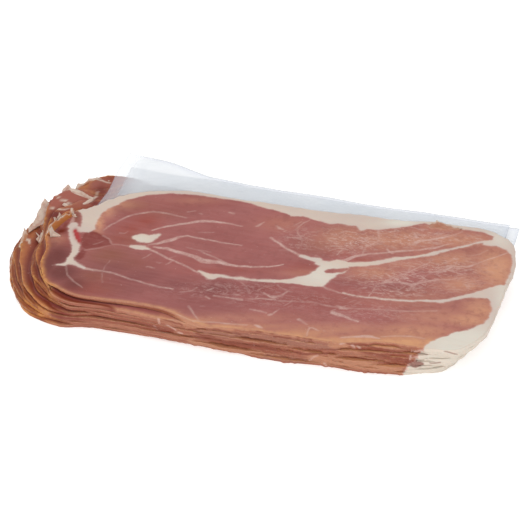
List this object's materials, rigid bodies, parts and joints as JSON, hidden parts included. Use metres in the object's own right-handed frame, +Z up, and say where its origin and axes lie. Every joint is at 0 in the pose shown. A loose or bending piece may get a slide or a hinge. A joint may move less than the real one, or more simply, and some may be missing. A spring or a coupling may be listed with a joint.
{
  "type": "sliced prosciutto",
  "caption": "Leaning stack of long thin slices of dry-cured ham, fanned at one end, with two thin interleaf sheets showing along the back edge.",
  "frame": {"origin": "middle of the stack's footprint, on the surface that it lies on", "axes": "+X along the slices, away from the fanned end; +Y towards the edge where the interleaf sheets show; +Z up"},
  "size_m": [0.2664, 0.135, 0.0235],
  "materials": {
    "ham": "moist cured meat: rose muscle, cream fat rim and seams, amber dried edge",
    "interleaf": "thin translucent bluish-white film with a fine embossed grid"
  },
  "bodies": {
    "root": {"slice_1": "ham", "slice_2": "ham", "slice_3": "ham", "slice_4": "ham", "slice_5": "ham", "slice_6": "ham", "slice_7": "ham", "slice_8": "ham", "slice_9": "ham", "interleaf_lower": "interleaf", "interleaf_upper": "interleaf"}
  },
  "joints": []
}
